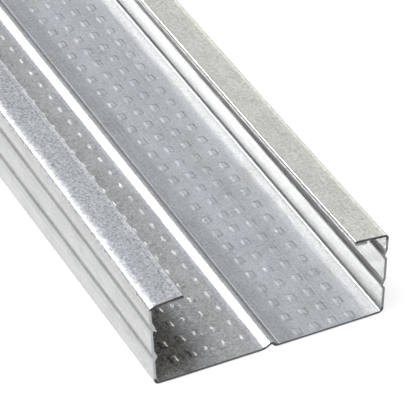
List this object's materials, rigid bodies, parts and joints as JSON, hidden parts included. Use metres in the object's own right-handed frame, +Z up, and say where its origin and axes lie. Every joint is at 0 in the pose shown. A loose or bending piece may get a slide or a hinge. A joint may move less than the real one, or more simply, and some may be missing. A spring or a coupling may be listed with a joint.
{
  "type": "ceiling furring channel",
  "caption": "Roll-formed galvanised C channel with hemmed lips, grooved flanges and a ribbed web; boards are screwed to its web and hangers clip behind its lips.",
  "frame": {"origin": "middle of the web's underside at half the length", "axes": "+Y along the length, +X across, +Z up from the web to the open side"},
  "size_m": [0.046, 3, 0.018],
  "materials": {
    "galvanised_strip": "galvanised, satin, embossed web"
  },
  "bodies": {
    "root": {"furring_channel": "galvanised_strip"}
  },
  "joints": []
}
